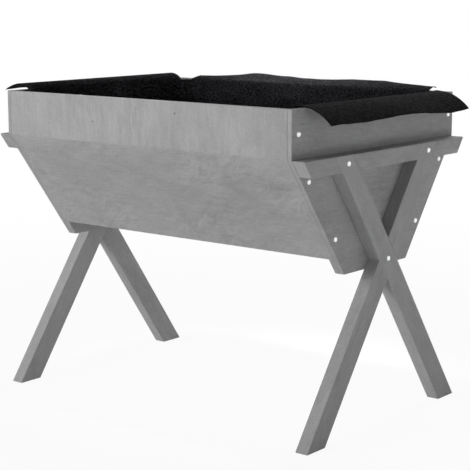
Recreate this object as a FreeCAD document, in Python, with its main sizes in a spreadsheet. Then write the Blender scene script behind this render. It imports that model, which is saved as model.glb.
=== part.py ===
import FreeCAD, Part
import math
import os
import re

# A wooden raised garden bed: a rim of four upright boards on a V-shaped trough,
# carried at each end by a crossed pair of legs, with a loose cloth liner inside.
# Millimetres, +Z up, +X along the trough. The trough's middle lies half of the back
# flap's reach towards -Y, so that the origin is under the middle of the whole object.

# Driving sizes, one spreadsheet cell each.
SIZES = {
    "bed_length": 1000, "bed_width": 700, "bed_height": 800,
    "rim_height": 115, "rim_thick": 12, "end_thick": 12,
    "slope_thick": 12, "slope_foot": 430,
    "end_foot": 392, "end_foot_width": 272,
    "post_size": 25, "post_drop": 4,
    "cleat_width": 18, "cleat_thick": 20,
    "bottom_thick": 12, "bottom_cleat_thick": 15, "drain_dia": 12,
    "leg_thick": 35, "leg_level_width": 73, "foot_spread": 660, "cross_height": 416,
    "rail_height": 40,
    "edge_round": 1.5, "leg_round": 2,
    "dowel_dia": 6, "dowel_length": 30, "dowel_spacing": 400,
    "shank_dia": 4, "head_dia": 12.5, "head_high": 3, "head_round": 2,
    "sunk_head_dia": 8, "sunk_head_high": 3,
    "board_grip": 8, "post_grip": 20, "cleat_grip": 16,
    "end_screw_drop": 54, "end_screw_rise": 53, "post_screw_drop": 26,
    "slope_screw_drop": 88, "slope_screw_rise": 90,
    "cleat_screw_spacing": 90, "bottom_screw_spacing": 160,
    "liner_thick": 2, "liner_gap": 0.5, "liner_drop": 3, "flap_inset": 40,
    "end_flap_reach": 68, "right_bend": 6, "left_bend": 18,
    "back_flap_reach": 50, "back_flap_inset": 60, "back_bend": 4,
}

# Flap slopes in degrees down from level: where the cloth leaves its bend over the rim, and at its
# free edge. The back flap springs up a little.
RIGHT_SLOPES = (8, 45)
LEFT_SLOPES = (8, 24)
BACK_SLOPES = (-25, 2)
DRAIN_COLUMNS = 5
DRAIN_ROWS = 2

# Lengths that follow from the driving sizes, as expressions.
DERIVED = {
    "rim_half": "bed_length / 2 - leg_thick",
    "inner_half": "rim_half - end_thick",
    "half_width": "bed_width / 2",
    "rim_foot": "bed_height - rim_height",
    "rim_middle": "rim_foot + rim_height / 2",
    "slope_run": "(half_width - end_foot_width / 2) / (rim_foot - end_foot)",
    "slope_level": "slope_thick * sqrt(1 + slope_run ^ 2)",
    "cleat_level": "cleat_width * sqrt(1 + slope_run ^ 2)",
    "floor_top": "slope_foot + bottom_thick",
    "leg_half": "leg_level_width / 2",
    "leg_foot": "foot_spread / 2 - leg_half",
    "leg_run": "leg_foot / cross_height",
    "leg_middle": "rim_half + leg_thick / 2",
    "rail_foot": "rim_foot - rail_height",
    "rail_middle": "rim_foot - rail_height / 2",
    "post_middle": "rim_thick + post_size / 2",
    "bed_shift": "back_flap_reach / 2",
}

doc = FreeCAD.newDocument("raised_garden_bed")
sheet = doc.addObject("Spreadsheet::Sheet", "dims")
for row, (alias, number) in enumerate(SIZES.items(), start=1):
    sheet.set(f"A{row}", alias)
    sheet.set(f"B{row}", str(number))
    sheet.setAlias(f"B{row}", alias)
doc.recompute()

# Wedge primitives rise along their own Y axis: this turn sends X, Y, Z to Y, Z, X.
UPRIGHT = FreeCAD.Rotation(FreeCAD.Vector(1, 1, 1), 120)
ENDS = {"left": -1, "right": 1}
SIDES = {"front": -1, "back": 1}


def expression(text):
    """The text with each named length replaced by its spreadsheet cells."""
    def swap(match):
        word = match.group(0)
        if word in DERIVED:
            return "(" + expression(DERIVED[word]) + ")"
        if word in SIZES:
            return "dims." + word
        return word
    return re.sub(r"[a-z][a-z_]*", swap, text)


def value(text):
    """The number that an expression of named lengths comes to, in millimetres."""
    return float(sheet.evalExpression(expression(text)))


def bind(item, **bindings):
    for name, text in bindings.items():
        item.setExpression(name, expression(text))


def place(item, x="0", y="0", z="0"):
    """Puts an object at a point given from the trough's middle on the floor."""
    item.setExpression("Placement.Base.x", expression(x))
    item.setExpression("Placement.Base.y", expression(f"{y} - bed_shift"))
    item.setExpression("Placement.Base.z", expression(z))
    return item


def box(name, x, y, z):
    """A board with its faces along the axes; each pair gives its low and high face."""
    item = doc.addObject("Part::Box", name)
    bind(item, Length=f"({x[1]}) - ({x[0]})", Width=f"({y[1]}) - ({y[0]})", Height=f"({z[1]}) - ({z[0]})")
    return place(item, x[0], y[0], z[0])


def slanted(name, x, z, low, high):
    """A board whose Y faces lean: its Y range is low at its foot and high at its top."""
    item = doc.addObject("Part::Wedge", name)
    item.Placement = FreeCAD.Placement(FreeCAD.Vector(), UPRIGHT)
    bind(item, Xmin=low[0], Xmax=low[1], X2min=high[0], X2max=high[1], Ymin=z[0], Ymax=z[1],
         Zmin=x[0], Zmax=x[1], Z2min=x[0], Z2max=x[1])
    return place(item)


def both_ways(x, way):
    """A pair of distances outward along X, as a low and a high face at that end."""
    if way > 0:
        return x
    return (f"-({x[1]})", f"-({x[0]})")


def rounded(item, radius_name):
    """The same board with all its edges eased."""
    doc.recompute()
    radius = value(radius_name)
    eased = doc.addObject("Part::Fillet", item.Name + "_eased")
    eased.Base = item
    eased.Edges = [(number, radius, radius) for number in range(1, len(item.Shape.Edges) + 1)]
    return eased


def cut(name, base, tools):
    """A board less its notches, holes or screws."""
    if len(tools) == 1:
        tool = tools[0]
    else:
        tool = doc.addObject("Part::Compound", name + "_tools")
        tool.Links = tools
    result = doc.addObject("Part::Cut", name)
    result.Base = base
    result.Tool = tool
    return result


def screw(name, head, reach, x, y, z, turn):
    """A round-headed screw: its shank runs reach along the turned Z axis from the surface."""
    shank = doc.addObject("Part::Cylinder", name + "_shank")
    cap = doc.addObject("Part::Cylinder", name + "_head")
    bind(shank, Radius="shank_dia / 2", Height=reach)
    for part in (shank, cap):
        part.Placement = FreeCAD.Placement(FreeCAD.Vector(), turn)
        place(part, x, y, z)
    if head == "proud":
        # The head stands on the surface, so its cylinder starts one head height outside.
        bind(cap, Radius="head_dia / 2", Height="head_high")
        out = turn.multVec(FreeCAD.Vector(0, 0, -1))
        place(cap, f"{x} + ({out.x}) * head_high", f"{y} + ({out.y}) * head_high",
              f"{z} + ({out.z}) * head_high")
        doc.recompute()
        round_head = doc.addObject("Part::Fillet", name + "_round_head")
        round_head.Base = cap
        crown = value("head_round")
        edge = min(range(len(cap.Shape.Edges)), key=lambda i: rim_distance(cap.Shape.Edges[i], out))
        round_head.Edges = [(edge + 1, crown, crown)]
        cap = round_head
    else:
        bind(cap, Radius="sunk_head_dia / 2", Height="sunk_head_high")
    whole = doc.addObject("Part::Fuse", name)
    whole.Base = shank
    whole.Tool = cap
    return whole


def rim_distance(edge, out):
    """Ranks a head's edges so that the round one on its outer face comes first."""
    if not isinstance(edge.Curve, Part.Circle):
        return math.inf
    return -edge.CenterOfMass.dot(out)


def group(name, members):
    """Identical fasteners kept as one node of separate solids."""
    result = doc.addObject("Part::Compound", name)
    result.Links = members
    return result


def turned(x, y, z):
    """The turn that sends +Z to a direction."""
    return FreeCAD.Rotation(FreeCAD.Vector(0, 0, 1), FreeCAD.Vector(x, y, z))


def leg_shape(name, foot, x):
    """A leg from one foot (-1 front, 1 back) up to the rim's foot on the other side."""
    lean = f"({-foot}) * leg_run * rim_foot"
    low = (f"({foot}) * leg_foot - leg_half", f"({foot}) * leg_foot + leg_half")
    high = (f"{low[0]} + {lean}", f"{low[1]} + {lean}")
    return slanted(name, x, ("0", "rim_foot"), low, high)


def rail_shape(name, x):
    reach = "half_width - slope_run * rail_height"
    return slanted(name, x, ("rail_foot", "rim_foot"), (f"-({reach})", reach), ("-half_width", "half_width"))


def mirrored(pair, side):
    """A Y range on the back side, or the same range on the front side."""
    if side > 0:
        return pair
    return (f"-({pair[1]})", f"-({pair[0]})")


pieces = {}
solid_count = {}

# Dowels stand half in each end rim board and half in the end panel under it.
dowels = []
for end, way in ENDS.items():
    for side, hand in SIDES.items():
        dowel = doc.addObject("Part::Cylinder", f"dowel_{end}_{side}")
        bind(dowel, Radius="dowel_dia / 2", Height="dowel_length")
        place(dowel, f"({way}) * (rim_half - end_thick / 2)", f"({hand}) * dowel_spacing / 2",
              "rim_foot - dowel_length / 2")
        dowels.append(dowel)
pieces["rim_dowels"] = group("rim_dowels", dowels)

# Screws driven in from the ends, whose bright round heads show.
inset = "cleat_level / 2 + slope_level"
corner, panel, top, crossing = [], [], [], []
for end, way in ENDS.items():
    inward = turned(-way, 0, 0)
    face, leg_face = f"({way}) * rim_half", f"({way}) * (rim_half + leg_thick)"
    crossing.append(screw(f"cross_{end}", "proud", "leg_thick + board_grip", leg_face, "0", "cross_height",
                          inward))
    for side, hand in SIDES.items():
        corner.append(screw(f"corner_{end}_{side}", "proud", "end_thick + post_grip", face,
                            f"({hand}) * (half_width - post_middle)", "rim_middle", inward))
        top.append(screw(f"top_{end}_{side}", "proud", "leg_thick + board_grip", leg_face,
                         f"({hand}) * (leg_run * rail_middle - leg_foot)", "rail_middle", inward))
        heights = {"high": "rim_foot - end_screw_drop", "low": "slope_foot + end_screw_rise"}
        for level, height in heights.items():
            across = f"half_width - slope_run * (rim_foot - ({height})) - ({inset})"
            panel.append(screw(f"panel_{end}_{side}_{level}", "proud", "end_thick + cleat_grip", face,
                               f"({hand}) * ({across})", height, inward))
pieces["rim_corner_screws"] = group("rim_corner_screws", corner)
pieces["end_panel_screws"] = group("end_panel_screws", panel)
pieces["leg_top_screws"] = group("leg_top_screws", top)
pieces["leg_crossing_screws"] = group("leg_crossing_screws", crossing)

# Screws driven from inside, with their heads let in flush under the liner.
post_screws, slope_screws, cleat_screws, floor_screws = [], [], [], []
for end, way in ENDS.items():
    for side, hand in SIDES.items():
        name = f"{end}_{side}"
        post_screws.append(screw(f"post_{name}", "sunk", "post_size + board_grip",
                                 f"({way}) * (inner_half - post_size / 2)",
                                 f"({hand}) * (half_width - rim_thick - post_size)",
                                 "rim_middle - post_screw_drop", turned(0, hand, 0)))
        cleat_screws.append(screw(f"foot_{name}", "sunk", "bottom_cleat_thick + board_grip",
                                  f"({way}) * (inner_half - bottom_cleat_thick)",
                                  f"({hand}) * cleat_screw_spacing / 2", "(end_foot + slope_foot) / 2",
                                  turned(way, 0, 0)))
        floor_screws.append(screw(f"floor_{name}", "sunk", "bottom_thick + cleat_grip",
                                  f"({way}) * (inner_half - bottom_cleat_thick / 2)",
                                  f"({hand}) * bottom_screw_spacing / 2", "floor_top", turned(0, 0, -1)))
        run = value("slope_run")
        heights = {"high": "rim_foot - slope_screw_drop", "low": "slope_foot + slope_screw_rise"}
        for level, height in heights.items():
            across = f"half_width - slope_run * (rim_foot - ({height})) - slope_level - cleat_level"
            slope_screws.append(screw(f"slope_{name}_{level}", "sunk", "cleat_width + board_grip",
                                      f"({way}) * (inner_half - cleat_thick / 2)", f"({hand}) * ({across})",
                                      height, turned(0, hand, -run)))
pieces["corner_post_screws"] = group("corner_post_screws", post_screws)
pieces["slope_cleat_screws"] = group("slope_cleat_screws", slope_screws)
pieces["bottom_cleat_screws"] = group("bottom_cleat_screws", cleat_screws)
pieces["bottom_board_screws"] = group("bottom_board_screws", floor_screws)
for name, item in pieces.items():
    solid_count[name] = len(item.Links)
fasteners = list(pieces.values())

# Rim: the end boards cover the ends of the front and back boards.
for side, hand in SIDES.items():
    board = box(f"{side}_rim_blank", ("-inner_half", "inner_half"),
                mirrored(("half_width - rim_thick", "half_width"), hand), ("rim_foot", "bed_height"))
    pieces[f"rim_{side}_board"] = cut(f"rim_{side}_board", rounded(board, "edge_round"), fasteners)
for end, way in ENDS.items():
    board = box(f"{end}_rim_blank", both_ways(("inner_half", "rim_half"), way), ("-half_width", "half_width"),
                ("rim_foot", "bed_height"))
    pieces[f"rim_{end}_board"] = cut(f"rim_{end}_board", rounded(board, "edge_round"), fasteners)

# Trough: sloped panels between the end panels, over a bottom board with drain holes.
foot_out = "half_width - slope_run * (rim_foot - slope_foot)"
for side, hand in SIDES.items():
    panel_blank = slanted(f"{side}_slope_blank", ("-inner_half", "inner_half"), ("slope_foot", "rim_foot"),
                          mirrored((f"{foot_out} - slope_level", foot_out), hand),
                          mirrored(("half_width - slope_level", "half_width"), hand))
    pieces[f"{side}_slope_panel"] = cut(f"{side}_slope_panel", rounded(panel_blank, "edge_round"), fasteners)
for end, way in ENDS.items():
    panel_blank = slanted(f"{end}_panel_blank", both_ways(("inner_half", "rim_half"), way),
                          ("end_foot", "rim_foot"), ("-end_foot_width / 2", "end_foot_width / 2"),
                          ("-half_width", "half_width"))
    pieces[f"{end}_end_panel"] = cut(f"{end}_end_panel", rounded(panel_blank, "edge_round"), fasteners)
    cleat = slanted(f"{end}_bottom_cleat_blank",
                    both_ways(("inner_half - bottom_cleat_thick", "inner_half"), way),
                    ("end_foot", "slope_foot"), ("-end_foot_width / 2", "end_foot_width / 2"),
                    (f"-({foot_out})", foot_out))
    pieces[f"{end}_bottom_cleat"] = cut(f"{end}_bottom_cleat", rounded(cleat, "edge_round"), fasteners)

floor_half = f"{foot_out} - slope_level"
floor_top_half = f"{floor_half} + slope_run * bottom_thick"
floor_blank = slanted("bottom_blank", ("-inner_half", "inner_half"), ("slope_foot", "floor_top"),
                      (f"-({floor_half})", floor_half),
                      (f"-({floor_top_half})", floor_top_half))
drains = []
for column in range(DRAIN_COLUMNS):
    for row in range(DRAIN_ROWS):
        along = (column + 0.5) / DRAIN_COLUMNS - 0.5
        aside = (row + 0.5) / DRAIN_ROWS - 0.5
        drain = doc.addObject("Part::Cylinder", f"drain_{column}_{row}")
        bind(drain, Radius="drain_dia / 2", Height="bottom_thick")
        place(drain, f"({along}) * 2 * inner_half", f"({aside}) * 2 * ({floor_half})", "slope_foot")
        drains.append(drain)
pieces["bottom_board"] = cut("bottom_board", floor_blank, fasteners + drains)

# Corner posts inside the rim, and cleats that hold the sloped panels to the end panels.
for end, way in ENDS.items():
    for side, hand in SIDES.items():
        post = box(f"{side}_{end}_post_blank", both_ways(("inner_half - post_size", "inner_half"), way),
                   mirrored(("half_width - rim_thick - post_size", "half_width - rim_thick"), hand),
                   ("rim_foot", "bed_height - post_drop"))
        pieces[f"{side}_{end}_corner_post"] = cut(f"{side}_{end}_corner_post", post, fasteners)
        top_half = "half_width - slope_level"
        cleat = slanted(f"{side}_{end}_cleat_blank",
                        both_ways(("inner_half - cleat_thick", "inner_half"), way), ("floor_top", "rim_foot"),
                        mirrored((f"{floor_top_half} - cleat_level", floor_top_half), hand),
                        mirrored((f"{top_half} - cleat_level", top_half), hand))
        pieces[f"{side}_{end}_slope_cleat"] = cut(f"{side}_{end}_slope_cleat", cleat, fasteners)

# Legs and rails lie in one layer, halved into each other where they cross: the legs keep
# their outer half at the rail, and the leg with its foot at the back keeps it at the crossing.
for end, way in ENDS.items():
    whole = both_ways(("rim_half", "rim_half + leg_thick"), way)
    inner = both_ways(("rim_half", "leg_middle"), way)
    outer = both_ways(("leg_middle", "rim_half + leg_thick"), way)
    notches = [leg_shape(f"{end}_{side}_rail_notch", hand, outer) for side, hand in SIDES.items()]
    rail = rounded(rail_shape(f"{end}_rail_blank", whole), "leg_round")
    pieces[f"{end}_cross_rail"] = cut(f"{end}_cross_rail", rail, notches + fasteners)
    for side, hand in SIDES.items():
        blank = rounded(leg_shape(f"{end}_{side}_leg_blank", hand, whole), "leg_round")
        layer = outer if side == "front" else inner
        other = leg_shape(f"{end}_{side}_leg_halving", -hand, layer)
        lap = rail_shape(f"{end}_{side}_rail_lap", inner)
        pieces[f"{end}_{side}_leg"] = cut(f"{end}_{side}_leg", blank, [other, lap] + fasteners)


def trough_section(inset, top):
    """The trough's inner outline across its length, moved inward by an inset."""
    run = value("slope_run")
    rise = math.sqrt(1 + run ** 2)
    wall = value("half_width - rim_thick") - inset
    line = value("half_width - slope_level") - inset * rise
    crease = value("rim_foot") + (wall - line) / run
    floor = value("floor_top") + inset
    foot = line - run * (value("rim_foot") - floor)
    return [(wall, top), (wall, crease), (foot, floor), (-foot, floor), (-wall, crease), (-wall, top)]


def prism(outline, half_length):
    """A Y-Z outline drawn out along X, the same way both sides of the middle."""
    points = [FreeCAD.Vector(-half_length, y, z) for y, z in outline]
    face = Part.Face(Part.makePolygon(points + points[:1]))
    return face.extrude(FreeCAD.Vector(2 * half_length, 0, 0))


def obstacles(grow):
    """The corner posts and slope cleats that the cloth goes round, grown by a gap. The cloth stands
    off a cleat at least as far as off a post, so that it lifts out past the posts."""
    blocks = []
    post = value("post_size") + grow
    deep = max(value("post_size"), value("cleat_thick")) + grow
    length = value("inner_half")
    wall = value("half_width - rim_thick")
    wide = value("cleat_level") + grow * math.sqrt(1 + value("slope_run") ** 2)
    foot, top = value("floor_top"), value("rim_foot")
    low, high = value(floor_top_half), value("half_width - slope_level")
    for way in ENDS.values():
        for hand in SIDES.values():
            corner_block = Part.makeBox(post, post, value("bed_height"))
            corner_block.translate(FreeCAD.Vector(length - post, wall - post, top))
            outline = [(low, foot), (high, top), (high - wide, top), (low - wide, foot)]
            points = [FreeCAD.Vector(length, y, z) for y, z in outline]
            face = Part.Face(Part.makePolygon(points + points[:1]))
            cleat_block = face.extrude(FreeCAD.Vector(-deep, 0, 0))
            for block in (corner_block, cleat_block):
                if way < 0:
                    block = block.mirror(FreeCAD.Vector(), FreeCAD.Vector(1, 0, 0))
                if hand < 0:
                    block = block.mirror(FreeCAD.Vector(), FreeCAD.Vector(0, 1, 0))
                blocks.append(block)
    return blocks


def flap_section(bend, slopes, reach):
    """A flap's profile as (outward, upward) from the wall's outer face and top: a bend over
    the rim, then a shallow crown out to the free edge."""
    cloth = value("liner_thick")
    first, last = (math.radians(slope) for slope in slopes)
    start = bend * (1 + math.sin(first))
    crown = (reach - start) / (math.sin(last) - math.sin(first))
    centre_out = start - crown * math.sin(first)
    centre_up = (bend - crown) * math.cos(first)

    def on_bend(radius, angle):
        return FreeCAD.Vector(bend + radius * math.sin(angle), 0, radius * math.cos(angle))

    def on_crown(radius, angle):
        return FreeCAD.Vector(centre_out + radius * math.sin(angle), 0, centre_up + radius * math.cos(angle))

    def arc(point, radius, begin, finish):
        middle = (begin + finish) / 2
        return Part.Arc(point(radius, begin), point(radius, middle), point(radius, finish)).toShape()

    upright = -math.pi / 2
    under = [arc(on_bend, bend, upright, first), arc(on_crown, crown, first, last)]
    over = [arc(on_crown, crown + cloth, last, first), arc(on_bend, bend + cloth, first, upright)]
    hem = Part.LineSegment(on_crown(crown, last), on_crown(crown + cloth, last)).toShape()
    root = Part.LineSegment(on_bend(bend + cloth, upright), on_bend(bend, upright)).toShape()
    return Part.Face(Part.Wire(under + [hem] + over + [root]))


def flap(bend, slopes, reach, half_span, turn, wall, root_height):
    """A flap drawn out along the rim board that it hangs over, turned to its side."""
    shape = flap_section(bend, slopes, reach).extrude(FreeCAD.Vector(0, 2 * half_span, 0))
    shape.translate(FreeCAD.Vector(wall, -half_span, root_height))
    shape.rotate(FreeCAD.Vector(), FreeCAD.Vector(0, 0, 1), turn)
    return shape


def liner_shape():
    """The cloth: a bag that lines the trough and rim, with flaps over the ends and the back."""
    gap, cloth = value("liner_gap"), value("liner_thick")
    brim = value("bed_height - liner_drop")
    above = value("bed_height")
    outside = prism(trough_section(gap, brim), value("inner_half") - gap).cut(obstacles(gap))
    lining = gap + cloth
    inside = prism(trough_section(lining, above), value("inner_half") - lining).cut(obstacles(lining))
    bag = outside.cut(inside)
    end_wall, back_wall = value("inner_half") - gap, value("half_width - rim_thick") - gap
    end_span = value("half_width - flap_inset")
    back_span = value("rim_half - back_flap_inset")
    end_reach = value("end_flap_reach + end_thick") + gap
    back_reach = value("back_flap_reach + rim_thick") + gap
    right = flap(value("right_bend"), RIGHT_SLOPES, end_reach, end_span, 0, end_wall, brim)
    left = flap(value("left_bend"), LEFT_SLOPES, end_reach, end_span, 180, end_wall, brim)
    back = flap(value("back_bend"), BACK_SLOPES, back_reach, back_span, 90, back_wall, brim)
    return bag.multiFuse([right, left, back]).removeSplitter()


liner = doc.addObject("Part::Feature", "liner")
liner.Shape = liner_shape().Solids[0]
liner.Placement = FreeCAD.Placement(FreeCAD.Vector(0, -value("bed_shift"), 0), FreeCAD.Rotation())
pieces["liner"] = liner

doc.recompute()
for item in doc.Objects:
    if "Invalid" in item.State or "Error" in item.State:
        raise RuntimeError(f"{item.Name} did not recompute: {item.State}")
for name, item in pieces.items():
    shape = item.Shape
    if shape.isNull() or not shape.isValid():
        raise RuntimeError(f"{name} has no valid shape")
    if len(shape.Solids) != solid_count.get(name, 1):
        raise RuntimeError(f"{name} has {len(shape.Solids)} solids")

os.makedirs("parts", exist_ok=True)
for name, item in pieces.items():
    item.Label = name
    item.Shape.exportStep(f"parts/{name}.step")
    box_size = item.Shape.BoundBox
    print(f"{name}: {len(item.Shape.Solids)} solids, {item.Shape.Volume / 1000:.1f} cm3, "
          f"{box_size.XLength:.1f} x {box_size.YLength:.1f} x {box_size.ZLength:.1f}")
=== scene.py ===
import math

import bmesh
import bpy
from mathutils import Matrix, Vector, noise


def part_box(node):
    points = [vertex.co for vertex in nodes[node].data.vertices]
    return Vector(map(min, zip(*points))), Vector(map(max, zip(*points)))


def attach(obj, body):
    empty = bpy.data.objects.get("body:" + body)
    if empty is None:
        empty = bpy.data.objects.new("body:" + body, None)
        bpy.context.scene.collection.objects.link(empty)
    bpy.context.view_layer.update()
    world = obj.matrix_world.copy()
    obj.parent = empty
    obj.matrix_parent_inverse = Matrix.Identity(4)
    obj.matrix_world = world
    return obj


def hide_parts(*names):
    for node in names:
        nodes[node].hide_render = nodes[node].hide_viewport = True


# Looks of a grey-stained wooden raised garden bed with a black felt liner, around its fixed frame.
# Metres, in the frame's axes: +X along the trough, -Y the front, +Z up.
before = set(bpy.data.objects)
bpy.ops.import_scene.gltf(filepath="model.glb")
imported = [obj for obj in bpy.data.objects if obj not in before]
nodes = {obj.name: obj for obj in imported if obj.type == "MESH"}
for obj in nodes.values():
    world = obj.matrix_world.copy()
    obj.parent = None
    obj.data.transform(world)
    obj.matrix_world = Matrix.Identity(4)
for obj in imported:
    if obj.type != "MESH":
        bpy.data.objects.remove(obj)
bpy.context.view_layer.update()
ENDS = ("left", "right")
SIDES = ("front", "back")
QUARTER = math.pi / 2

# Lengths read from the frame.
RIM_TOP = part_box("rim_front_board")[1].z
RIM_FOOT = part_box("rim_front_board")[0].z
RIM_INNER_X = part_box("rim_right_board")[0].x
FRONT_FACE_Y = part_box("rim_front_board")[0].y
FRONT_INNER_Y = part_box("rim_front_board")[1].y
BACK_INNER_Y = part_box("rim_back_board")[0].y
MIDDLE_Y = (FRONT_INNER_Y + BACK_INNER_Y) / 2
FLOOR_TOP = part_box("bottom_board")[1].z
LEG_LOW, LEG_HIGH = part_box("right_front_leg")
SLOPE_LOW, SLOPE_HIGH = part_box("back_slope_panel")

# Two widths measured level that no box gives: a leg's at its foot, and a sloped panel's thickness.
LEG_LEVEL = 0.073
SLOPE_LEVEL = 0.0149
LEG_LEAN = math.atan2(LEG_HIGH.y - LEG_LOW.y - LEG_LEVEL, LEG_HIGH.z - LEG_LOW.z)
SLOPE_RUN = (SLOPE_HIGH.y - SLOPE_LOW.y - SLOPE_LEVEL) / (SLOPE_HIGH.z - SLOPE_LOW.z)


# Shader nodes
# The middle of a noise's range, where most of its values lie.
NOISE_MIDDLE = (0.3, 0.7)


def add(tree, kind, inputs=None, **settings):
    """A shader node; an input may be a value or another node's socket."""
    node = tree.nodes.new(kind)
    for name, setting in settings.items():
        setattr(node, name, setting)
    for name, given in (inputs or {}).items():
        if isinstance(given, bpy.types.NodeSocket):
            tree.links.new(given, node.inputs[name])
        else:
            node.inputs[name].default_value = given
    return node


def math_node(tree, operation, first, second=0.0):
    """The result of one sum on two values."""
    return add(tree, "ShaderNodeMath", {0: first, 1: second}, operation=operation).outputs[0]


def spread(tree, socket, low, high, to_low, to_high):
    """A value stretched from one range to another, clamped at both ends."""
    ranges = {"Value": socket, "From Min": low, "From Max": high, "To Min": to_low, "To Max": to_high}
    return add(tree, "ShaderNodeMapRange", ranges, clamp=True).outputs["Result"]


def noise_node(tree, where, scale, detail, rough=0.5, warp=0.0):
    """Smooth noise between 0 and 1."""
    inputs = {"Vector": where, "Scale": scale, "Detail": detail, "Roughness": rough, "Distortion": warp}
    return add(tree, "ShaderNodeTexNoise", inputs).outputs["Fac"]


def object_place(tree):
    """A point's place in its own piece, in metres."""
    return add(tree, "ShaderNodeTexCoord").outputs["Object"]


def bump_normal(tree, shader, height, strength, distance):
    """Shades a surface as though it had small heights."""
    bump = add(tree, "ShaderNodeBump", {"Height": height, "Strength": strength, "Distance": distance})
    tree.links.new(bump.outputs[0], shader.inputs["Normal"])


def new_material(name):
    """A material with its node tree and its shader."""
    material = bpy.data.materials.new(name)
    material.use_nodes = True
    tree = material.node_tree
    return material, tree, tree.nodes["Principled BSDF"]


# Wood. Each layer of its grain: how many times a metre it repeats along and across the grain, its
# detail, roughness and distortion. The two slanted layers run across the grain at a slant.
WOOD_LAYERS = {
    "streaks": ((4.5, 120.0, 120.0), 4.0, 0.6, 0.0),
    "fibres": ((24.0, 380.0, 380.0), 3.0, 0.65, 0.0),
    "clouds": ((6.0, 14.0, 14.0), 6.0, 0.62, 0.6),
    "patches": ((2.2, 3.8, 3.8), 2.0, 0.6, 0.0),
    "planing": ((9.0, 60.0, 60.0), 3.0, 0.5, 0.0),
    "smears": ((13.0, 34.0, 34.0), 4.0, 0.6, 2.2),
    "specks": ((150.0, 240.0, 240.0), 2.0, 0.6, 0.0),
    "wear": ((3.5, 5.0, 5.0), 2.0, 0.6, 0.0),
}
SLANTED_LAYERS = ("planing", "smears")
SLANT = (0.5, 0.35, 0.6)
# How strongly each layer lightens and darkens the stain, where a board gives no weight of its own, and
# the layers that wear fades in places.
LAYER_WEIGHTS = {"streaks": 0.3, "fibres": 0.34, "clouds": 0.5, "patches": 0.26, "planing": 0.2,
                 "smears": 0.2, "specks": 0.32}
WORN_LAYERS = ("streaks", "planing", "smears")
WEAR_RANGE, WORN_LEAST = (0.42, 0.6), 0.25
PORE_CELLS, PORE_RANGE, PORE_WEIGHT = (45.0, 420.0, 420.0), (0.08, 0.22), -0.1
KNOT_CELLS, KNOT_RANGE, KNOT_CHOICE = (6.5, 9.0, 9.0), (0.01, 0.05), (0.72, 0.74)
KNOT_CORE, KNOT_RADIUS = 0.0012, 0.0036
# Eased edges carry a painted highlight: the stain is made paler over this radius round each edge, by this
# weight.
EDGE_RADIUS, EDGE_RANGE, EDGE_HIGHLIGHT_WEIGHT = 0.004, (0.995, 0.85), 0.16
FIBRE_HEIGHT, STREAK_HEIGHT, PORE_HEIGHT = 0.6, 0.5, 0.3
STAIN_BLUE = 1.004
WOOD_ROUGH, WOOD_SPECULAR = (0.72, 0.58), 0.3


def grain_space(tree, turn, shift, scale):
    """Object coordinates turned so that X runs along the grain, then stretched."""
    turned = add(tree, "ShaderNodeMapping",
                 {"Vector": object_place(tree), "Rotation": turn, "Location": shift})
    return add(tree, "ShaderNodeMapping", {"Vector": turned.outputs[0], "Scale": scale}).outputs[0]


def grain_layer(tree, layer, turn, shift):
    """One layer's noise, drawn out along the grain."""
    scale, *shape = WOOD_LAYERS[layer]
    if layer in SLANTED_LAYERS:
        turn = tuple(angle + slant for angle, slant in zip(turn, SLANT))
    return noise_node(tree, grain_space(tree, turn, shift, scale), 1.0, *shape)


def grain_cells(tree, turn, shift, scale):
    """Cells drawn out along the grain: the distance from each cell's middle, and its colour."""
    where = {"Vector": grain_space(tree, turn, shift, scale), "Scale": 1.0}
    return add(tree, "ShaderNodeTexVoronoi", where).outputs


def knot_mask(tree, turn, shift, placed_knots):
    """1 on a knot: small ones in a few cells of the grain, and those listed."""
    cells = grain_cells(tree, turn, shift, KNOT_CELLS)
    chosen = add(tree, "ShaderNodeSeparateColor", {0: cells["Color"]}).outputs[0]
    knot = math_node(tree, "MULTIPLY", spread(tree, cells["Distance"], *KNOT_RANGE, 1.0, 0.0),
                     spread(tree, chosen, *KNOT_CHOICE, 0.0, 1.0))
    place = object_place(tree)
    for centre in placed_knots:
        away = add(tree, "ShaderNodeVectorMath", {0: place, 1: centre}, operation="DISTANCE").outputs["Value"]
        knot = math_node(tree, "MAXIMUM", knot, spread(tree, away, KNOT_CORE, KNOT_RADIUS, 1.0, 0.0))
    return knot


def edge_highlight_mask(tree):
    """1 on an eased edge and 0 on a flat face, from the normal rounded over a radius: where the painted edge
    highlight goes.
    """
    soft = add(tree, "ShaderNodeBevel", {"Radius": EDGE_RADIUS}, samples=6).outputs[0]
    plain = add(tree, "ShaderNodeNewGeometry").outputs["True Normal"]
    facing = add(tree, "ShaderNodeVectorMath", {0: soft, 1: plain}, operation="DOT_PRODUCT").outputs["Value"]
    return spread(tree, facing, *EDGE_RANGE, 0.0, 1.0)


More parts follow.
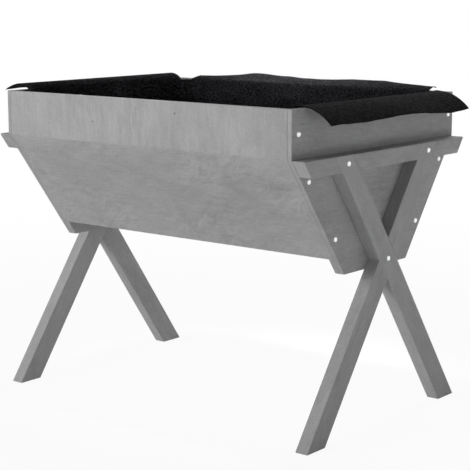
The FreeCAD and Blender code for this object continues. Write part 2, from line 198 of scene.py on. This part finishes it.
def wood(name, tone, turn, shift, knots=0.5, placed_knots=(), **weights):
    """Grey stain over fine grain: long streaks, fibres, pores, cloudy patches, faint slanting planing
    marks, wiped smears, small knots, and a painted highlight that makes eased edges paler. Weights are those
    of single layers."""
    material, tree, shader = new_material(name)
    layers = {layer: grain_layer(tree, layer, turn, shift) for layer in WOOD_LAYERS}
    worn = spread(tree, layers["wear"], *WEAR_RANGE, WORN_LEAST, 1.0)
    pore = spread(tree, grain_cells(tree, turn, shift, PORE_CELLS)["Distance"], *PORE_RANGE, 1.0, 0.0)

    lightness = 1.0
    for layer, weight in LAYER_WEIGHTS.items():
        centred = math_node(tree, "SUBTRACT", layers[layer], 0.5)
        part = math_node(tree, "MULTIPLY", centred, weights.get(layer, weight))
        if layer in WORN_LAYERS:
            part = math_node(tree, "MULTIPLY", part, worn)
        lightness = math_node(tree, "ADD", lightness, part)
    knot = knot_mask(tree, turn, shift, placed_knots)
    # Knots and pores darken the stain; the painted edge highlight lightens it on eased edges.
    for mask, weight in ((knot, -knots), (pore, PORE_WEIGHT), (edge_highlight_mask(tree), EDGE_HIGHLIGHT_WEIGHT)):
        lightness = math_node(tree, "ADD", lightness, math_node(tree, "MULTIPLY", mask, weight))
    stain = add(tree, "ShaderNodeVectorMath", {0: (tone, tone, tone * STAIN_BLUE), "Scale": lightness},
                operation="SCALE")
    tree.links.new(stain.outputs[0], shader.inputs["Base Color"])

    rough = spread(tree, layers["fibres"], *NOISE_MIDDLE, *WOOD_ROUGH)
    tree.links.new(rough, shader.inputs["Roughness"])
    shader.inputs["Specular IOR Level"].default_value = WOOD_SPECULAR
    height = math_node(tree, "ADD", math_node(tree, "MULTIPLY", layers["fibres"], FIBRE_HEIGHT),
                       math_node(tree, "MULTIPLY", layers["streaks"], STREAK_HEIGHT))
    height = math_node(tree, "SUBTRACT", height, math_node(tree, "MULTIPLY", pore, PORE_HEIGHT))
    bump_normal(tree, shader, height, strength=0.3, distance=0.0006)
    return material


# Steel and felt
SCUFF_NOISE, SCUFF_DARK, SCUFF_ROUGH = (900.0, 3.0), 0.94, 0.12
FELT_DARK, FELT_PALE, FELT_LEAST, FELT_BLUE = 0.0088, 0.0132, 0.0015, 1.12
FELT_ROUGH, FELT_SPECULAR = 0.9, 0.03
# The felt's noises: scale, detail, roughness and, for the fibres, distortion. The streaks lie on a place
# that is drawn out first. Three of them lighten and darken the felt by a reach.
FIBRE_NOISE = (700.0, 4.0, 0.65, 1.2)
STREAK_NOISE, STREAK_DRAWN, STREAK_REACH = (1.0, 3.0, 0.65), (190.0, 55.0, 190.0), 0.0076
FLECK_NOISE, FLECK_REACH = (220.0, 2.0, 0.65), 0.0080
MOTTLE_NOISE, MOTTLE_REACH = (30.0, 3.0, 0.65), 0.001
REACH_RANGE = (0.36, 0.64)
DOT_SCALE, DOT_STRAY, DOT_RANGE, DOT_DARK, DOT_DEPTH = 330.0, 0.25, (0.18, 0.36), 0.0025, 0.6


def steel(name, tone, rough):
    """Bright turned steel with fine scuffs."""
    material, tree, shader = new_material(name)
    scuff = noise_node(tree, object_place(tree), *SCUFF_NOISE)
    shade = spread(tree, scuff, *NOISE_MIDDLE, tone * SCUFF_DARK, tone)
    grey = add(tree, "ShaderNodeCombineColor", {0: shade, 1: shade, 2: shade}).outputs[0]
    tree.links.new(grey, shader.inputs["Base Color"])
    scuffed = spread(tree, scuff, *NOISE_MIDDLE, rough, rough + SCUFF_ROUGH)
    tree.links.new(scuffed, shader.inputs["Roughness"])
    shader.inputs["Metallic"].default_value = 1.0
    return material


def felt(name):
    """Black non-woven felt: matted fibres drawn out one way, with a faint grid of bonding dots."""
    material, tree, shader = new_material(name)
    place = object_place(tree)
    drawn = add(tree, "ShaderNodeMapping", {"Vector": place, "Scale": STREAK_DRAWN}).outputs[0]
    fibres = noise_node(tree, place, *FIBRE_NOISE)
    streaks = noise_node(tree, drawn, *STREAK_NOISE)
    fleck = noise_node(tree, place, *FLECK_NOISE)
    mottle = noise_node(tree, place, *MOTTLE_NOISE)
    dots = add(tree, "ShaderNodeTexVoronoi", {"Vector": place, "Scale": DOT_SCALE, "Randomness": DOT_STRAY})
    dot = spread(tree, dots.outputs["Distance"], *DOT_RANGE, 1.0, 0.0)

    shade = spread(tree, fibres, *NOISE_MIDDLE, FELT_DARK, FELT_PALE)
    for layer, reach in ((streaks, STREAK_REACH), (fleck, FLECK_REACH), (mottle, MOTTLE_REACH)):
        shade = math_node(tree, "ADD", shade, spread(tree, layer, *REACH_RANGE, -reach, reach))
    shade = math_node(tree, "SUBTRACT", shade, math_node(tree, "MULTIPLY", dot, DOT_DARK))
    shade = math_node(tree, "MAXIMUM", shade, FELT_LEAST)
    blue = math_node(tree, "MULTIPLY", shade, FELT_BLUE)
    colour = add(tree, "ShaderNodeCombineColor", {0: shade, 1: shade, 2: blue}).outputs[0]
    tree.links.new(colour, shader.inputs["Base Color"])
    shader.inputs["Roughness"].default_value = FELT_ROUGH
    shader.inputs["Specular IOR Level"].default_value = FELT_SPECULAR
    height = math_node(tree, "SUBTRACT", math_node(tree, "ADD", fibres, streaks),
                       math_node(tree, "MULTIPLY", dot, DOT_DEPTH))
    bump_normal(tree, shader, height, strength=0.45, distance=0.0005)
    return material


# Which node gets which material. A shift moves a wood's grain, so that boards of one kind differ from
# those of another.
ALONG_X = (0.0, 0.0, 0.0)
ALONG_Y = (0.0, 0.0, -QUARTER)
ALONG_Z = (0.0, QUARTER, 0.0)
BOARD_TONE, BATTEN_TONE, DOWEL_TONE = 0.34, 0.3264, 0.5
# The legs at the left end are a lighter tone than those at the right end.
LEG_TONES = {"left": 0.3842, "right": 0.3502}
LEG_GRAIN = {"front": (LEG_LEAN, (2.9, 0.8, 6.1)), "back": (-LEG_LEAN, (5.3, 3.9, 1.9))}
FRONT_KNOTS = ((-0.154, FRONT_FACE_Y, RIM_TOP - 0.063), (0.119, FRONT_FACE_Y, RIM_TOP - 0.028))

wood_upright = wood("grey_wood_upright", BOARD_TONE, ALONG_Z, (0.0, 0.0, 0.0), placed_knots=FRONT_KNOTS,
                    streaks=0.12, planing=0.22, smears=0.3)
wood_long = wood("grey_wood_long", BOARD_TONE, ALONG_X, (3.1, 0.4, 0.7),
                 streaks=0.22, planing=0.26, smears=0.55)
wood_cross = wood("grey_wood_cross", BOARD_TONE, ALONG_Y, (1.7, 5.2, 2.3))
wood_batten = wood("grey_wood_batten", BATTEN_TONE, ALONG_Z, (7.7, 1.2, 4.3), knots=0.2)
plain_wood = wood("plain_dowel_wood", DOWEL_TONE, ALONG_Z, (4.4, 2.2, 0.3), knots=0.0)
bright_steel = steel("bright_screw_steel", 0.95, 0.22)
zinc_steel = steel("zinc_screw_steel", 0.7, 0.38)
black_felt = felt("black_felt")


def leg_wood(end, side):
    """Wood whose grain runs up a leg that leans in the Y-Z plane."""
    lean, shift = LEG_GRAIN[side]
    return wood(f"grey_wood_{end}_{side}_leg", LEG_TONES[end], (lean, QUARTER, 0.0), shift, knots=0.3)


def dress(node, material):
    """Gives all of a node's slots one material."""
    for slot in nodes[node].material_slots:
        slot.material = material


for side in SIDES:
    dress(f"rim_{side}_board", wood_upright)
    dress(f"{side}_slope_panel", wood_long)
for end in ENDS:
    for board in (f"rim_{end}_board", f"{end}_end_panel", f"{end}_bottom_cleat", f"{end}_cross_rail"):
        dress(board, wood_cross)
    for side in SIDES:
        dress(f"{end}_{side}_leg", leg_wood(end, side))
        dress(f"{side}_{end}_corner_post", wood_batten)
        dress(f"{side}_{end}_slope_cleat", wood_batten)
dress("bottom_board", wood_long)
dress("rim_dowels", plain_wood)
for place in ("rim_corner", "end_panel", "leg_top", "leg_crossing"):
    dress(f"{place}_screws", bright_steel)
for place in ("corner_post", "slope_cleat", "bottom_cleat", "bottom_board"):
    dress(f"{place}_screws", zinc_steel)


# Liner: one felt cloth. A bag of rings lines the trough, gathered into pleats at its corners, and
# three flaps are drawn out of its brim over the ends and the back.
CLOTH_THICK = 0.0012
CLOTH_GAP = 0.002
SLOPE_GAP = CLOTH_GAP * 1.6
CORNER_RADIUS = 0.092
FLOOR_FILLET, FILLET_SHARE, FILLET_ON_SLOPE = 0.03, 0.33, 0.6
LEAST_HALF_WIDTH = 0.0005
BRIM, BRIM_EASE = RIM_TOP - 0.002, 0.05
BAG_X = RIM_INNER_X - CLOTH_GAP
BAG_FLOOR = FLOOR_TOP + CLOTH_GAP
LONG_POINTS, END_POINTS, CORNER_POINTS = 84, 50, 20
WALL_ROWS, FLOOR_ROWS = 42, 14
WELD = 0.0008
PLEAT_DEPTH, PLEAT_PITCH, PLEAT_SPREAD = 0.012, 0.05, 0.1
PLEAT_SLANT, PLEAT_STAGGER, PLEAT_SHARPNESS = 1.5, 0.17, 1.5
# The cloth's noises: swings a metre along X, Y and Z, and a shift that keeps one apart from another.
FOLD_NOISE, FOLD_DEPTH, FOLD_LEVEL = ((9, 9, 2.6), 0.0), 0.008, 0.25
SMALL_FOLD_NOISE, SMALL_FOLD_SHARE = ((21, 21, 4.0), 8.1), 0.5
CREASE_NOISE, CREASE_DEPTH, CREASE_SHARPNESS = ((26, 26, 9.0), 0.0), 0.0026, 2.4
SWELL_NOISE, SWELL_DEPTH, SWELL_LEVEL = ((7, 9, 0), 5.5), 0.006, 0.2
RIPPLE_NOISE, RIPPLE_DEPTH, RIPPLE_SHARPNESS = ((13, 17, 0), 2.2), 0.003, 3.0
FLUTTER_NOISE, FLUTTER_DEPTH = ((21, 2.0, 40), 0.0), 0.0014
FLAP_STEP = 0.0035
# Shares of a flap: where along it the free edge's wave sets in, how soon its root is drawn up to the
# wall, and where along its span the corners start to droop.
WAVE_FROM, ROOT_SHARE, DROOP_FROM = 0.35, 1 / 3, 0.6
# Each flap: the way it hangs, half its span, its bend, slopes and reach, and the shape of its free edge.
FLAPS = (((1, 0), 0.307, (0.0075, (8, 45), 0.0892), {"wave": (0.007, 0.11, 0.42)}),
         ((-1, 0), 0.307, (0.018, (8, 31), 0.0725), {"wave": (0.003, -0.003, 0.31)}),
         ((0, 1), 0.413, (0.004, (-25, 2), 0.0632),
          {"wave": (0.006, -0.1, 0.42), "taper": 0.05, "droop": 0.01}))


def half_width(z):
    """The bag's half width at a height: upright in the rim, then along the slope."""
    wall = (BACK_INNER_Y - FRONT_INNER_Y) / 2 - CLOTH_GAP
    slope = SLOPE_HIGH.y - SLOPE_LEVEL - MIDDLE_Y - SLOPE_RUN * (RIM_FOOT - z) - SLOPE_GAP
    return min(wall, slope)


def ring(half_x, half_y):
    """A rectangle with round corners, walked from its front left: each point with its outward direction
    and its distances along the walk from the middles of the four corners."""
    radius = min(CORNER_RADIUS, half_x, half_y)
    arc = QUARTER * radius
    sides = (((-1, -1), (1, -1), LONG_POINTS), ((1, -1), (1, 1), END_POINTS),
             ((1, 1), (-1, 1), LONG_POINTS), ((-1, 1), (-1, -1), END_POINTS))
    walk, corners, travelled = [], [], 0.0
    for index, (*ends, count) in enumerate(sides):
        start, finish = (Vector((x * (half_x - radius), y * (half_y - radius))) for x, y in ends)
        outward = Matrix.Rotation(QUARTER * index, 2) @ Vector((0.0, -1.0))
        length = (finish - start).length
        for step in range(count):
            share = step / (count - 1)
            walk.append((start.lerp(finish, share) + outward * radius, outward, travelled + length * share))
        travelled += length
        corners.append(travelled + arc / 2)
        for step in range(1, CORNER_POINTS):
            share = step / CORNER_POINTS
            turned = Matrix.Rotation(QUARTER * share, 2) @ outward
            walk.append((finish + turned * radius, turned, travelled + arc * share))
        travelled += arc
    half = travelled / 2
    return [(point, outward, [(place - corner + half) % travelled - half for corner in corners])
            for point, outward, place in walk]


def pleats(distances, height):
    """How far the gathers at the corners come in: upright folds that fade along the walls."""
    depth = 0.0
    for corner, distance in enumerate(distances):
        turns = distance / PLEAT_PITCH + PLEAT_SLANT * (BRIM - height) + PLEAT_STAGGER * corner
        wave = 0.5 - 0.5 * math.cos(math.tau * turns)
        depth += PLEAT_DEPTH * math.exp(-(distance / PLEAT_SPREAD) ** 2) * wave ** PLEAT_SHARPNESS
    return depth


def noise_at(point, scale, shift):
    """Smooth noise between about -1 and 1 at a point."""
    x, y, z = (value * times for value, times in zip(point, scale))
    return noise.noise(Vector((x, y, z + shift)))


def ridge(value, sharpness):
    """1 where a noise crosses zero, falling off on both sides: the line of a crease."""
    return max(0.0, 1.0 - abs(value) * sharpness) ** 2


def folds(place, height):
    """How far the hanging cloth comes in from its wall: soft upright folds and small creases."""
    point = (*place, height)
    soft = noise_at(point, *FOLD_NOISE) + SMALL_FOLD_SHARE * noise_at(point, *SMALL_FOLD_NOISE)
    crease = noise_at(point, *CREASE_NOISE)
    return FOLD_DEPTH * max(0.0, soft + FOLD_LEVEL) + CREASE_DEPTH * ridge(crease, CREASE_SHARPNESS)


def ripples(place):
    """How far the cloth rises off the floor: low swells and small creases."""
    point = (*place, 0.0)
    swell = noise_at(point, *SWELL_NOISE)
    crease = noise_at(point, *RIPPLE_NOISE)
    return SWELL_DEPTH * max(0.0, swell + SWELL_LEVEL) + RIPPLE_DEPTH * ridge(crease, RIPPLE_SHARPNESS)


def bag_levels():
    """The bag's rings from the brim to the middle of its floor: height, half length, half width, and the
    share of the wall's folds and of the floor's ripples that each takes."""
    levels = []
    for row in range(WALL_ROWS):
        z = BRIM + (BAG_FLOOR + FLOOR_FILLET - BRIM) * row / (WALL_ROWS - 1)
        levels.append((z, BAG_X, half_width(z), min(1.0, (BRIM - z) / BRIM_EASE), 0.0))
    for row in range(1, FLOOR_ROWS + 1):
        share = row / FLOOR_ROWS
        turn = min(1.0, share / FILLET_SHARE) * QUARTER
        z = BAG_FLOOR + FLOOR_FILLET * (1 - math.sin(turn))
        inset = FLOOR_FILLET * (1 - math.cos(turn))
        shrink = max(0.0, share - FILLET_SHARE) / (1 - FILLET_SHARE)
        half_x = BAG_X - inset - half_width(BAG_FLOOR) * shrink
        half_y = max(LEAST_HALF_WIDTH, (half_width(z) - inset * FILLET_ON_SLOPE) * (1 - shrink))
        levels.append((z, half_x, half_y, math.cos(turn), math.sin(turn)))
    return levels


def flap_arcs(bend, slopes, reach):
    """A flap's two arcs, over a bend and along a shallow crown: where the crown starts, its radius, and the
    lengths of both. The slopes, in degrees down from level, are those where it leaves the bend and at its
    free edge."""
    first, last = (math.radians(angle) for angle in slopes)
    start = bend * (1 + math.sin(first))
    crown = (reach - start) / (math.sin(last) - math.sin(first))
    return start, crown, bend * (QUARTER + first), crown * (last - first)


def flap_profile(bend, slopes, reach):
    """(outward, upward) points of a flap from its root to its free edge."""
    first = math.radians(slopes[0])
    start, crown, bend_length, crown_length = flap_arcs(bend, slopes, reach)
    rows = math.ceil((bend_length + crown_length) / FLAP_STEP)
    points = []
    for row in range(1, rows + 1):
        travelled = (bend_length + crown_length) * row / rows
        if travelled < bend_length:
            angle = travelled / bend - QUARTER
            points.append((bend + bend * math.sin(angle), bend * math.cos(angle)))
        else:
            angle = first + (travelled - bend_length) / crown
            points.append((start + crown * (math.sin(angle) - math.sin(first)),
                           bend * math.cos(first) + crown * (math.cos(angle) - math.cos(first))))
    return points


def add_flap(mesh, brim, outward, half_span, profile, wave, taper=0.0, droop=0.0):
    """Draws the brim out over one side of the rim, column by column. The free edge waves (depth, where a
    wave starts, length) more and more along its span, its corners may droop, and its sides may draw in."""
    across = Vector((-outward.y, outward.x))
    wall = BAG_X if outward.x else half_width(BRIM)
    depth, begin, length = wave
    columns = []
    for vertex in brim:
        place = vertex.co.to_2d()
        if place.dot(outward) > wall - CORNER_RADIUS and abs(place.dot(across)) <= half_span:
            columns.append((place.dot(across), place.dot(outward), vertex))
    columns.sort(key=lambda column: column[0])
    previous = None
    for offset, root, vertex in columns:
        growth = 0.5 + 0.5 * offset / half_span
        drop = depth * growth * math.sin(math.tau * (offset - begin) / length)
        drop += droop * max(0.0, abs(offset) / half_span - DROOP_FROM) / (1 - DROOP_FROM)
        strip = [vertex]
        for row, (out, up) in enumerate(profile):
            share = (row + 1) / len(profile)
            free = max(0.0, share - WAVE_FROM) / (1 - WAVE_FROM)
            pulled = (wall - root) * max(0.0, 1 - share / ROOT_SHARE)
            flutter = FLUTTER_DEPTH * noise_at((offset, share, wall), *FLUTTER_NOISE)
            place = outward * (wall + out - pulled) + across * offset * (1 - taper * share)
            strip.append(mesh.verts.new((place.x, place.y, BRIM + up - (drop + flutter) * free)))
        if previous:
            for low, high, low_next, high_next in zip(previous, previous[1:], strip, strip[1:]):
                mesh.faces.new((low, low_next, high_next, high))
        previous = strip


def build_bag(mesh):
    """Adds the bag's rings to the mesh, and returns the one at its brim."""
    rings = []
    for z, half_x, half_y, folded, rippled in bag_levels():
        level = []
        for point, outward, distances in ring(half_x, half_y):
            inset = (folds(point, z) + pleats(distances, z)) * folded
            place = point - outward * inset
            level.append(mesh.verts.new((place.x, place.y, z + ripples(point) * rippled)))
        rings.append(level)
    for upper, lower in zip(rings, rings[1:]):
        for index in range(len(upper)):
            mesh.faces.new((upper[index - 1], upper[index], lower[index], lower[index - 1]))
    return rings[0]


def build_liner():
    """The cloth: one sheet made around the trough's own middle, moved there, and given its thickness."""
    mesh = bmesh.new()
    brim = build_bag(mesh)
    for outward, half_span, arcs, shape in FLAPS:
        add_flap(mesh, brim, Vector(outward), half_span, flap_profile(*arcs), **shape)
    bmesh.ops.remove_doubles(mesh, verts=mesh.verts, dist=WELD)
    bmesh.ops.recalc_face_normals(mesh, faces=mesh.faces)
    data = bpy.data.meshes.new("liner_cloth")
    mesh.to_mesh(data)
    mesh.free()
    for polygon in data.polygons:
        polygon.use_smooth = True
    for vertex in data.vertices:
        vertex.co.y += MIDDLE_Y
    data.materials.append(black_felt)
    piece = bpy.data.objects.new("liner_cloth", data)
    bpy.context.scene.collection.objects.link(piece)
    solid = piece.modifiers.new("thickness", "SOLIDIFY")
    solid.thickness = CLOTH_THICK
    solid.offset = -1.0
    return piece


liner = build_liner()
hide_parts("liner")
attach(liner, "liner")


# Floor, light and camera
WHITE = (1.0, 1.0, 1.0, 1.0)
FLOOR_SIZE, FLOOR_DROP = 60.0, 0.001
FLOOR_COLOUR, FLOOR_ROUGH = (0.88, 0.88, 0.88, 1.0), 0.9
# The share of plain white that the lens sees in the floor, near the bed and far from it.
NEAR, FAR = 0.8, 3.2
NEAR_WHITE, FAR_WHITE = 0.93, 1.0
WORLD_GLOW, WORLD_FALL = 0.7, 2.0
# Each light: name, place, target, size, power in watts, and the beam's spread in degrees. The two floor
# lights shine beside the bed, so that the floor lights its sides from below.
LIGHTS = (("front_key", (-2.0, -5.4, 1.9), (0.0, 0.0, 0.4), 3.2, 186.0, 180),
          ("back_key", (-0.6, 4.4, 4.0), (0.0, 0.0, 0.4), 2.6, 70.0, 180),
          ("back_fill", (0.2, 5.2, 0.9), (0.0, 0.0, 0.4), 2.4, 52.0, 180),
          ("overhead", (-0.25, 0.06, 3.2), (-0.04, 0.09, 0.6), 0.5, 5.0, 20),
          ("low_fill", (4.3, -1.2, 0.3), (0.0, 0.0, 0.4), 1.2, 5.0, 180),
          ("right_floor", (2.25, 0.1, 2.6), (2.25, 0.1, 0.0), 0.6, 17.5, 62),
          ("front_floor", (0.35, -2.35, 2.6), (0.35, -2.35, 0.0), 0.6, 8.0, 62))
CAMERA_AZIMUTH, CAMERA_ELEVATION = math.radians(38.93), math.radians(10.0)
CAMERA_TARGET = Vector((0.0, 0.0, 0.4147))
CAMERA_DISTANCE = 3.764
FOCAL_PIXELS, IMAGE_PIXELS = 1409.0, 470.0
SENSOR_WIDTH = 36.0


def background_ray(tree):
    """1 for the rays that see a plain white background: the lens's, and those off shiny metal."""
    path = add(tree, "ShaderNodeLightPath").outputs
    return math_node(tree, "MAXIMUM", path["Is Camera Ray"], path["Is Glossy Ray"])


def build_floor():
    """A plain pale floor that fades into the white background and keeps a soft shadow."""
    bpy.ops.mesh.primitive_plane_add(size=FLOOR_SIZE, location=(0.0, 0.0, -FLOOR_DROP))
    floor = bpy.context.object
    floor.name = "floor"
    material, tree, shader = new_material("pale_floor")
    shader.inputs["Base Color"].default_value = FLOOR_COLOUR
    shader.inputs["Roughness"].default_value = FLOOR_ROUGH
    white = add(tree, "ShaderNodeEmission", {"Color": WHITE, "Strength": 1.0})
    away = add(tree, "ShaderNodeVectorMath", {0: object_place(tree)}, operation="LENGTH").outputs["Value"]
    whiteness = spread(tree, away, NEAR, FAR, NEAR_WHITE, FAR_WHITE)
    share = math_node(tree, "MULTIPLY", background_ray(tree), whiteness)
    mix = add(tree, "ShaderNodeMixShader", {0: share, 1: shader.outputs[0], 2: white.outputs[0]})
    tree.links.new(mix.outputs[0], tree.nodes["Material Output"].inputs["Surface"])
    floor.data.materials.append(material)


def build_world():
    """Light that glows around the horizon and fades overhead; the lens and shiny metal see plain white."""
    world = bpy.data.worlds.new("studio")
    bpy.context.scene.world = world
    world.use_nodes = True
    tree = world.node_tree
    direction = add(tree, "ShaderNodeTexCoord").outputs["Generated"]
    height = add(tree, "ShaderNodeSeparateXYZ", {0: direction}).outputs["Z"]
    glow = math_node(tree, "POWER", spread(tree, height, 0.0, 1.0, 1.0, 0.0), WORLD_FALL)
    strength = math_node(tree, "MAXIMUM", math_node(tree, "MULTIPLY", glow, WORLD_GLOW), background_ray(tree))
    background = tree.nodes["Background"]
    background.inputs["Color"].default_value = WHITE
    tree.links.new(strength, background.inputs["Strength"])


def build_light(name, place, target, size, power, beam):
    """A soft round lamp that shines from its place at a target."""
    lamp = bpy.data.lights.new(name, "AREA")
    lamp.spread = math.radians(beam)
    lamp.shape = "DISK"
    lamp.size = size
    lamp.energy = power
    light = bpy.data.objects.new(name, lamp)
    bpy.context.scene.collection.objects.link(light)
    light.location = place
    light.rotation_mode = "QUATERNION"
    light.rotation_quaternion = (Vector(target) - Vector(place)).to_track_quat("-Z", "Y")


def build_camera():
    """The photograph's viewing angle, with no lens shift."""
    lens = bpy.data.cameras.new("camera")
    lens.sensor_width = SENSOR_WIDTH
    lens.lens = FOCAL_PIXELS / IMAGE_PIXELS * SENSOR_WIDTH
    camera = bpy.data.objects.new("camera", lens)
    bpy.context.scene.collection.objects.link(camera)
    level = math.cos(CAMERA_ELEVATION)
    back = Vector((math.sin(CAMERA_AZIMUTH) * level, -math.cos(CAMERA_AZIMUTH) * level,
                   math.sin(CAMERA_ELEVATION)))
    camera.location = CAMERA_TARGET + back * CAMERA_DISTANCE
    camera.rotation_mode = "QUATERNION"
    camera.rotation_quaternion = (-back).to_track_quat("-Z", "Y")
    bpy.context.scene.camera = camera


build_floor()
build_world()
for light in LIGHTS:
    build_light(*light)
build_camera()
bpy.context.scene.view_settings.view_transform = "Standard"
